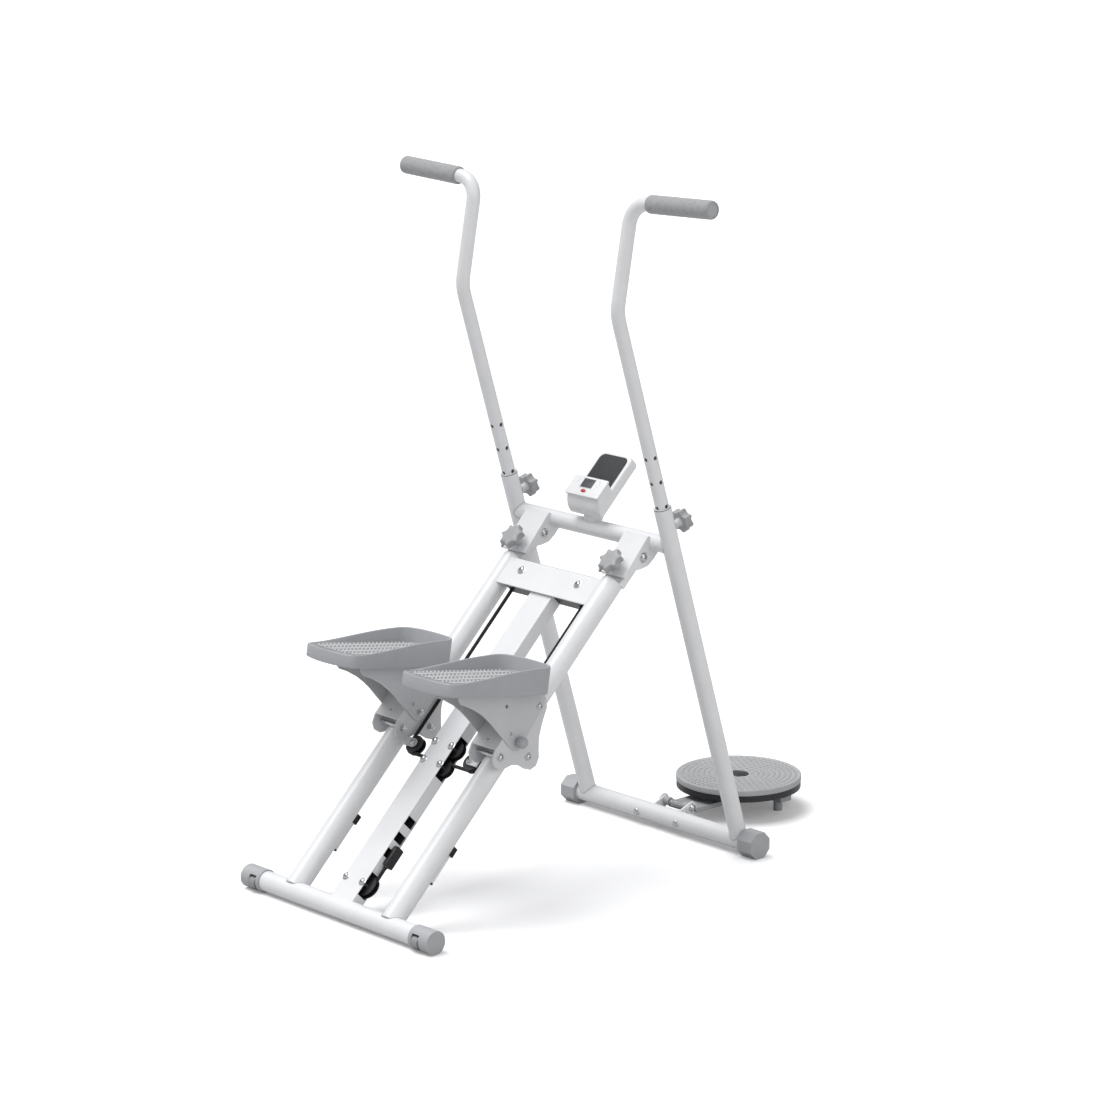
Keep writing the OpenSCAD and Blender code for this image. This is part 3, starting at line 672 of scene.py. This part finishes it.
# ---------- pedals ----------

def pedal_loop(inset, corner, height):
    """Outline of the tray at an inset: straight sides, curved heel and toe, round corners."""
    half = PEDAL_W / 2 - inset
    low, high = inset, PEDAL_L - inset
    steps = 8
    toe = corner + 22
    plain = filleted([(half, low), (half, high), (-half, high), (-half, low)],
                     [corner, toe, toe, corner], steps)
    dense = []
    for i, p in enumerate(plain):
        q = plain[(i + 1) % len(plain)]
        side, last = divmod(i, steps + 1)
        cuts = (28, 14)[side % 2] if last == steps else 1
        dense += [(p[0] + (q[0] - p[0]) * k / cuts, p[1] + (q[1] - p[1]) * k / cuts)
                  for k in range(cuts)]
    out = []
    for x, y in dense:
        bow = HEEL_BOW * (1 - y / PEDAL_L) - TOE_BOW * y / PEDAL_L
        y += HEEL_Y + (x / half) ** 2 * bow
        out.append((x, y, height(y)))
    return out


def wall_height(y):
    """Top edge of the tray wall: level at the heel, rising along the side to the toe."""
    t = max(0.0, min(1.0, (y - 6) / 292))
    return 27 + 31.3 * math.sin(t * math.pi / 2) ** 1.5


def flat(z):
    return lambda y: z


def along_wall(below=0.0):
    return lambda y: wall_height(y) - below


def build_pedals():
    columns, rows, pitch = 8, 28, 10.6
    half = 64.0
    for side, sign in SIDES:
        body, node = f"{side}_carriage", f"{side}_pedal"
        shape = Shape()
        shape.rings([pedal_loop(inset, corner, height) for inset, corner, height in (
            (1.4, 9, flat(0.0)), (0.3, 10, flat(0.6)), (0.0, 10.5, flat(2.4)),
            (0.0, 10.5, along_wall(1.6)), (0.5, 10, along_wall(0.4)), (1.8, 9.4, along_wall()),
            (3.4, 8.6, along_wall()), (4.6, 8, along_wall(0.5)), (5.2, 7.6, along_wall(1.6)),
            (6.4, 7, flat(PEDAL_FLOOR + 2.5)), (7.2, 6.6, flat(PEDAL_FLOOR + 0.8)),
            (8.6, 6, flat(PEDAL_FLOOR)))])
        shape.piece(f"{side}_pedal_tray", body, [GREY], pedal_frame(sign), [node], smooth=50)
        # Black rubber gasket under the tray, also a dark strip that paints the shade in the gap
        # between pedal and bracket.
        under = Shape()
        under.prism(rounded_rect(-45, 45, 34, 262, 12, 6), -3.0, 1.0, at(), 0, 0.8, 2)
        under.piece(f"{side}_pedal_gasket_and_shade", body, [BLACK_RUBBER], pedal_frame(sign), slot=node)
        tread = Shape()
        tread.prism([p[:2] for p in pedal_loop(8.4, 6.1, flat(0.0))], PEDAL_FLOOR - 1,
                    PEDAL_FLOOR + 0.25)
        for c in range(columns):
            x = (c + 0.5) * 2 * half / columns - half
            lean = 38 if c % 2 else -38
            for y in (r * pitch for r in range(rows)):
                if 2 + 16 * (x / half) ** 2 < y < 282 - 30 * (x / half) ** 2:
                    tread.prism(rounded_rect(-8.2, 8.2, -1.9, 1.9, 1.8, 3), PEDAL_FLOOR,
                                PEDAL_FLOOR + 2.2, at(x, y) @ turn(lean, "Z"), 1, 1.1, 2)
        tread.piece(f"{side}_pedal_tread", body, [FLOOR_GREY, TREAD], pedal_frame(sign),
                    slot=node, smooth=30)


# ---------- grips, seams and sleeves ----------

def after_elbow(r, angle):
    """Place at the far end of a bend that starts along Z and turns towards X."""
    a = math.radians(angle)
    return at(r - r * math.cos(a), 0, r * math.sin(a)) @ turn(angle, "Y")


def grip_frame(sign):
    """Corner of a handle, Z out along the grip."""
    bend_r, bend_angle = 90, 27.7
    corner_r, corner_angle = 48, 87.9
    bend_trim = bend_r * math.tan(math.radians(bend_angle / 2))
    corner_trim = corner_r * math.tan(math.radians(corner_angle / 2))
    return (upright_frame(sign) @ at(0, 0, 1261 - bend_trim) @ turn(90, "Z")
            @ after_elbow(bend_r, bend_angle)
            @ at(0, 0, 227.7 - bend_trim - corner_trim) @ turn(-90 * sign, "Z")
            @ after_elbow(corner_r, corner_angle) @ at(0, 0, -corner_trim))


def build_grips():
    for side, sign in SIDES:
        shape = Shape()
        outer = [(15.1, 54.6), (17.4, 54.0), (18.9, 55.2), (19.4, 57.6)]
        z = 60.0
        while z < 224:
            outer.append((19.45 + 0.12 * math.sin(z * 0.31) + 0.08 * math.sin(z * 0.83 + sign), z))
            z += 3
        outer += [(19.4, 226.0), (18.9, 228.6), (17.6, 230.4), (15.8, 231.1), (14.6, 230.8)]
        shape.lathe(outer + [(14.4, 228.6)], turns=64, caps=False)
        shape.lathe([(14.9, 227.5), (14.6, 229.6), (13.0, 230.3), (4.0, 230.6)], kind=1, turns=48)
        shape.piece(f"{side}_foam_grip", f"{side}_handle", [FOAM, MARKS], grip_frame(sign),
                    [f"{side}_grip"])


def seam(shape, points, place):
    shape.sweep(points, 1.3, place, 0, 8, closed=True, ripple=0.12)


def build_seams():
    """Weld beads where tubes meet, the plastic sleeve in the mouth of each upright, and a black
    tube inside each handle that paints the shade seen through its holes."""
    circle = [2 * math.pi * i / 72 for i in range(72)]
    upright, rail = Shape(), Shape()
    for side, sign in SIDES:
        frame_at = upright_frame(sign)
        seam(upright, [(19 * math.cos(a), 19 * math.sin(a),
                        math.sqrt(21 ** 2 - (19 * math.sin(a)) ** 2)) for a in circle], frame_at)
        to_upright = frame_at.inverted() @ RAILS
        points = []
        for a in circle:
            s, n = 996 + 18.4 * math.cos(a), -7 + 18.4 * math.sin(a)
            across = min(18.9, abs((to_upright @ (Vector((0, s, n)) * MM)).y / MM))
            points.append((sign * (UPRIGHT_X - math.sqrt(19 ** 2 - across ** 2)), s, n))
        seam(upright, points, RAILS)
        sleeve = Shape()
        sleeve.lathe([(15.25, 806), (15.6, 813.6), (18.2, 814.5), (18.6, 815.2), (18.2, 816.2),
                      (16.2, 816.5), (15.25, 816.0)], turns=56, closed=True)
        sleeve.lathe([(18.3, 813.7), (19.1, 813.7), (19.1, 814.4), (18.3, 814.4)], kind=1,
                     closed=True)
        sleeve.piece(f"{side}_sleeve", "upright_frame", [SHELL_WHITE, BLACK_PAINT], frame_at)
        start = [math.sqrt(max(9 ** 2, 22 ** 2 - (24 * math.sin(a)) ** 2)) for a in circle]
        seam(rail, [(sign * RAIL_X + 24 * math.cos(a), s, 24 * math.sin(a))
                    for a, s in zip(circle, start)], RAILS)
        # Black tube inside the handle: painted shade for the hollow seen through the handle's
        # holes.
        handle_shade_tube = Shape()
        handle_shade_tube.lathe([(12.2, 632), (12.4, 632), (12.4, 1200), (12.2, 1200)], closed=True)
        handle_shade_tube.piece(f"{side}_handle_painted_shade", f"{side}_handle", [BLACK_PAINT], frame_at)
    upright.piece("upright_welds", "upright_frame", [PALE])
    rail.piece("rail_welds", "rail_frame", [PALE])


# ---------- ropes ----------

def build_ropes():
    """Pull rope: over the top pulleys, down to the carriages, round their pulleys to the beam."""
    n = ROPE_DEPTH
    top_x, top_s = TOP_PULLEY
    low_x, low_s = CARRIAGE_PULLEY
    top_r, low_r = 21.4, 18.4  # radius of the rope's middle round each pulley
    run_x, cross_s = top_x + top_r, low_s - low_r
    quarter = [math.pi / 2 * i / 16 for i in range(17)]

    def spot(x, s):
        return RAILS @ (Vector((x, s, n)) * MM)

    def rope(points, r=ROPE_R):
        shape = Shape()
        shape.sweep(points, r, RAILS, sides=14)
        return shape

    for side, sign in SIDES:
        node = f"{side}_rope"
        run = rope([(sign * run_x, low_s + (top_s - low_s) * i / 90, n) for i in range(91)])
        run = run.piece(f"{side}_rope_run", None, [BRAID], replaces=[node])
        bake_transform(run)
        over = rope([(sign * (top_x + top_r * math.cos(a)), top_s + top_r * math.sin(a), n)
                     for a in quarter]
                    + [(sign * (top_x - top_x * i / 12), top_s + top_r, n) for i in range(1, 13)])
        over.piece(f"{side}_rope_top", "rail_frame", [BRAID], slot=node)
        wrap = rope([(sign * (low_x + low_r * math.cos(a)), low_s - low_r * math.sin(a), n)
                     for a in quarter])
        wrap.piece(f"{side}_rope_wrap", f"{side}_carriage", [BRAID], slot=node)
        cross = rope([(sign * (30 + 61 * i / 40), cross_s, n) for i in range(41)], 3.9)
        cross = cross.piece(f"{side}_rope_cross", None, [BRAID], slot=node)
        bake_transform(cross)


def build_hook():
    """Hook in the beam's slots, with the cord from it to the foot pulley."""
    cord_x, cord_r = 40.3, 3.6
    shape = Shape()
    block = filleted([(121, -23.5), (169, -23.5), (169, -3), (162, 0.5), (121, 0.5)], 3, 4)
    shape.prism(block, 33.1, 43.8, RAILS @ ACROSS, 0, 1.4, 3)
    shape.box(25, 34, 138, 154, -14, -2, RAILS, 0, 1.5)
    shape.lathe([(4.4, 0), (4.9, 1), (4.9, 8), (4.0, 9.4), (3.0, 9.6)],
                RAILS @ at(cord_x, 124.5, ROPE_DEPTH) @ turn(90, "X"), 0, 24)
    shape.sweep([(cord_x, 118 - 42 * i / 40, ROPE_DEPTH) for i in range(41)], cord_r, RAILS, 1, 12)
    shape.sweep([(26 + 14.3 * math.cos(a), 66 + 14.3 * math.sin(a), ROPE_DEPTH)
                 for a in (0.7 - 3.4 * i / 24 for i in range(25))], cord_r, RAILS, 1, 12)
    shape.piece("hook_and_cord", "rail_frame", [BLACK_NYLON, BRAID], Matrix(),
                ["resistance_hook"])


def build_beam_shade_and_bumpers():
    """Black sheets inside the centre beam that paint the shade seen through its holes, and the stop
    strips' bumpers.
    """
    shape = Shape()
    # Black sheets on the floor, roof and walls inside the beam: painted shade for the hollow.
    x, low, top = 30.1, -16.2, 9.2
    for z in (low, top):
        shape.box(-x, x, 26, 800, z - 0.2, z + 0.2, RAILS, 0, 0.1)
    for s0, s1 in ((26, 336), (440, 800)):
        shape.box(-x - 0.2, -x + 0.2, s0, s1, low, top, RAILS, 0, 0.1)
    for s0, s1 in ((96, 135), (157, 175), (197, 215), (237, 336), (440, 800)):
        shape.box(x - 0.2, x + 0.2, s0, s1, low, top, RAILS, 0, 0.1)
    for _, sign in SIDES:
        shape.box(sign * RAIL_X - 3.6, sign * RAIL_X + 3.6, 124.5, 129, -36.6, -30.5, RAILS)
    shape.piece("beam_shade_and_bumpers", "rail_frame", [BLACK_PAINT])


# ---------- lock pins ----------

def build_lock_pins():
    for side, sign in SIDES:
        shape = Shape()
        place = RAILS @ at(sign * (RAIL_X + 41.1), *LOCK_PIN) @ turn(sign * 90, "Y")
        shape.lathe([(2.9, -8), (2.9, 1)], place, 1, 24)
        shape.lathe([(7.6, 0.2), (8.4, 0.8), (8.4, 4.4), (9.4, 5.6), (11.4, 7.0), (12.2, 9.4),
                     (12.2, 15.0), (11.6, 18.4), (9.8, 21.2), (7.0, 22.6), (3.0, 23.0)], place)
        shape.piece(f"{side}_lock_pin_grip", f"{side}_lock_pin", [GREY, ZINC], Matrix(),
                    [f"{side}_lock_pin"])


# ---------- console ----------

def build_console():
    shape = Shape()
    shape.prism(rounded_rect(-49.9, 49.9, 26, 148, 15, 8), 0.1, 25, CONSOLE, 0, 4.5, 5)
    front = [(-1.5 + 25 * t ** 2.1 - 7 * t * (1 - t), 0.5 + 43 * t)
             for t in (1 - i / 12 for i in range(13))]
    head = [(46, 0), (60, 14), (59, 26), (62, 43.5)] + front
    shape.prism(head, -49.6, 49.6, CONSOLE @ ACROSS, 0, 3.2, 5)
    shape.prism(rounded_rect(-51.2, 51.2, 16.5, 66, 3.5, 4), 42.5, 47.4, CONSOLE, 0, 1.7, 4)
    clip = filleted([(700, 757), (697, 744), (700, 733), (712, 728), (728, 731), (736, 745),
                     (748, 790)], 5, 4)
    lowered = Matrix.Translation(FRONT) @ at(0, 0, -25)
    shape.prism(clip, -13, 13, lowered @ ACROSS, 0, 2.2, 3)
    shape.prism(rounded_rect(-19.5, 19.5, 35.6, 62.5, 1.4, 3), 47.1, 47.9, CONSOLE, 0, 0.35, 2)
    shape.prism(rounded_rect(-17.4, 17.4, 37.6, 60.4, 0.8, 3), 47.4, 48.1, CONSOLE, 1, 0.15, 2)
    marks = ((-31, 55, 5), (-33, 49, 4), (-30, 49, 2), (30, 57, 5), (33, 50, 3), (30, 44, 4))
    for x, u, width in marks:
        shape.box(x - width / 2, x + width / 2, u, u + 1.1, 47.3, 47.55, CONSOLE, 2, 0.12)
    shape.piece("console_shell", "upright_frame", [SHELL_WHITE, GLASS, MARKS], Matrix(),
                ["console"], smooth=45)
    pad = Shape()
    outline = (arc(28, 127, 14, 0, 90, 8) + arc(-28, 127, 14, 90, 180, 8)
               + [(-42, 60.5), (42, 60.5)])
    pad.prism(outline, 24.4, 25.9, at(), 0, 0.6, 2)
    rim = [(x * 1.02, u + (1.0 if u > 100 else 0.0), 25.0) for x, u in outline]
    pad.sweep(rim, 0.9, at(), 1, 8, closed=True)
    pad.piece("phone_pad_mat", "upright_frame", [PAD, SHELL_WHITE], CONSOLE, ["phone_pad"])
    button = Shape()
    loops = []
    for grow, z in ((1.0, 45.0), (1.0, 48.2), (0.95, 48.9), (0.8, 49.3), (0.4, 49.5)):
        loops.append([(7.0 * grow * math.cos(2 * math.pi * i / 40),
                       29 + 3.8 * grow * math.sin(2 * math.pi * i / 40), z) for i in range(40)])
    button.rings(loops)
    button.piece("start_button", "console_button", [RED], CONSOLE, ["console_button"])


# ---------- twist disc ----------

def build_disc():
    shape = Shape()
    profile = [(23.0, 66.4), (140.2, 66.4), (141.4, 67.4), (141.5, 69.0), (141.5, 77.0),
               (141.1, 78.6), (140.0, 79.7), (138.4, 80.0), (136.6, 79.7), (135.2, 78.8),
               (133.8, 78.2), (25.2, 78.2), (24.0, 78.0), (23.0, 77.2)]
    shape.lathe(profile, turns=144, closed=True)
    for ring in range(9):
        r = 32 + 12 * ring
        count = 6 * round(2 * math.pi * r / 13.6 / 6)
        for i in range(count):
            a = 2 * math.pi * (i + 0.5 * (ring % 2)) / count
            shape.lathe([(4.3, 78.1), (4.0, 79.2), (3.1, 80.3), (1.6, 81.0), (0.5, 81.1)],
                        at(r * math.cos(a), r * math.sin(a)), 0, 12)
    spot = Matrix.Translation((DISC.x, DISC.y, 0))
    shape.piece("disc_plate_top", "disc_plate", [DISC_GREY], spot, ["disc_plate"], smooth=50)
    hub = Shape()
    hub.lathe([(20.0, 76.0), (22.2, 77.4), (22.4, 78.6), (21.6, 79.2), (18.6, 79.3), (17.8, 78.7),
               (15.4, 78.7), (14.6, 79.2), (3.0, 79.4)], turns=64)
    hub.piece("disc_hub_cap", "disc_arm", [BLACK_NYLON], spot)


# ---------- camera, floor and light ----------

def build_camera():
    scene = bpy.context.scene
    camera_data = bpy.data.cameras.new("camera")
    camera = bpy.data.objects.new("camera", camera_data)
    camera_data.sensor_width = 36
    camera_data.lens = 126.03
    camera_data.clip_end = 200
    look_down, look_round = 13.295, 47.313
    camera.location = (5.85048, FRONT.y - 4.80798, 2.57057)
    camera.rotation_euler = (math.radians(90 - look_down), 0, math.radians(look_round))
    scene.collection.objects.link(camera)
    scene.camera = camera


def build_floor():
    """Pale paper that shows white, but throws only part of that light back at the object."""
    half = 60
    floor_mesh = bpy.data.meshes.new("floor")
    floor_mesh.from_pydata([(-half, -half, 0), (half, -half, 0), (half, half, 0), (-half, half, 0)],
                           [], [(0, 1, 2, 3)])
    floor = bpy.data.objects.new("floor", floor_mesh)
    bpy.context.scene.collection.objects.link(floor)
    f = Finish("floor_paper", (0.98, 0.98, 0.985), 0.8, specular=0.1)
    f.tone(f.noise(900), 0.3, 0.7, 0.995, 1.0)
    f.set("Emission Color", (1, 1, 1, 1))
    f.set("Emission Strength", 0.14)
    output = next(n for n in f.nodes if n.type == "OUTPUT_MATERIAL")
    dull = f.node("ShaderNodeBsdfDiffuse", Color=(0.55, 0.55, 0.55, 1))
    seen = f.node("ShaderNodeMixShader")
    f.links.new(f.node("ShaderNodeLightPath").outputs["Is Camera Ray"], seen.inputs[0])
    f.links.new(dull.outputs[0], seen.inputs[1])
    f.links.new(f.shader.outputs[0], seen.inputs[2])
    f.links.new(seen.outputs[0], output.inputs["Surface"])
    floor_mesh.materials.append(f.material)


def build_light():
    """Sky that brightens to one side overhead, a soft key sun and a low fill."""
    scene = bpy.context.scene
    scene.view_settings.view_transform = "Standard"
    world = bpy.data.worlds.new("studio")
    world.use_nodes = True
    nodes, links = world.node_tree.nodes, world.node_tree.links
    toward = nodes.new("ShaderNodeVectorMath")
    toward.operation = "DOT_PRODUCT"
    toward.inputs[1].default_value = (-0.56, -0.20, 0.80)
    links.new(nodes.new("ShaderNodeTexCoord").outputs["Generated"], toward.inputs[0])
    sky = nodes.new("ShaderNodeMapRange")
    for name, limit in zip(("From Min", "From Max", "To Min", "To Max"), (-0.6, 1.0, 0.12, 0.60)):
        sky.inputs[name].default_value = limit
    links.new(toward.outputs["Value"], sky.inputs["Value"])
    background = nodes["Background"]
    background.inputs["Color"].default_value = (0.98, 0.985, 1.0, 1)
    links.new(sky.outputs["Result"], background.inputs["Strength"])
    scene.world = world

    for name, energy, spread, shine in (("key", 2.3, 42, (0.30, 0.20, -0.93)),
                                        ("fill", 1.0, 70, (-0.92, 0.05, -0.36))):
        lamp = bpy.data.lights.new(name, "SUN")
        lamp.energy = energy
        lamp.angle = math.radians(spread)
        sun = bpy.data.objects.new(name, lamp)
        sun.rotation_euler = Vector(shine).to_track_quat("-Z", "Y").to_euler()
        scene.collection.objects.link(sun)


for build in (build_camera, build_floor, build_light, build_knobs, build_carriage_hardware,
              build_rail_hardware, build_frame_hardware, build_pedals, build_grips, build_seams,
              build_ropes, build_hook, build_beam_shade_and_bumpers, build_lock_pins, build_console, build_disc):
    build()
